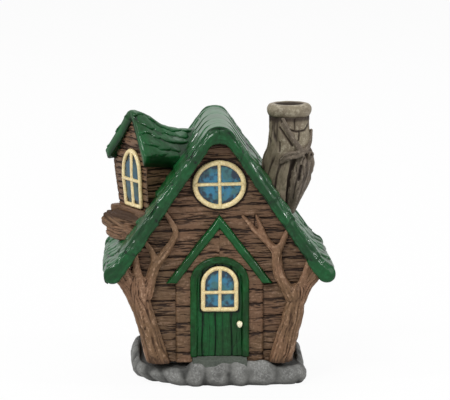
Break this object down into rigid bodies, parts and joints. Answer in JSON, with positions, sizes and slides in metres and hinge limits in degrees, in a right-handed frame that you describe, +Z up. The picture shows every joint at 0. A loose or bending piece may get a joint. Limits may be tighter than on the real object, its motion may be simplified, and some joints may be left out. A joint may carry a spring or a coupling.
{
  "type": "incense cone burner",
  "caption": "Cottage-shaped ceramic incense cone burner: a hollow house with a smoking chimney lifts off a rock base that holds a small ash dish.",
  "frame": {"origin": "centre of the overall bounding box, on the underside of the base", "axes": "+Z up, -Y towards the front with the door, +X to the right seen from the front"},
  "size_m": [0.123, 0.094, 0.1468],
  "materials": {
    "rock": "matte grey with dark wash",
    "timber": "semi-gloss brown planks with near-black wash in the grain",
    "green": "high gloss green glaze",
    "bark": "satin brown bark",
    "cream": "gloss cream",
    "blue": "gloss blue, mottled",
    "stump": "satin grey-brown stone",
    "dish": "satin, darkened by smoke"
  },
  "bodies": {
    "base": {"rock_base": "rock", "locating_plinth": "rock", "dish_cup": "rock", "door_step": "rock"},
    "ash_dish": {"ash_dish": "dish"},
    "house": {"front_wall": "timber", "back_wall": "timber", "left_wall": "timber", "right_wall": "timber", "porch_panel": "timber", "dormer_walls": "timber", "left_roof_slope": "green", "right_roof_slope": "green", "front_bargeboard": "green", "rear_bargeboard": "green", "dormer_roof": "green", "porch_gable_trim": "green", "door_frame": "green", "door_leaf": "green", "front_left_tree": "bark", "front_right_tree": "bark", "rear_left_tree": "bark", "rear_right_tree": "bark", "dormer_sill": "bark", "upper_corbel_log": "bark", "lower_corbel_log": "bark", "door_knob": "cream", "door_window_frame": "cream", "gable_window_frame": "cream", "dormer_window_frame": "cream", "door_window_pane": "blue", "gable_window_pane": "blue", "dormer_window_pane": "blue", "chimney_stack": "stump", "chimney_collar": "stump", "chimney_burl": "stump", "chimney_vines": "stump", "burl_stub": "stump"}
  },
  "joints": [
    {"name": "house_lift", "type": "slide", "parent": "base", "child": "house", "axis": [0, 0, 1], "range_m": [0, 0.08]},
    {"name": "dish_lift", "type": "slide", "parent": "base", "child": "ash_dish", "axis": [0, 0, 1], "range_m": [0, 0.02]}
  ]
}
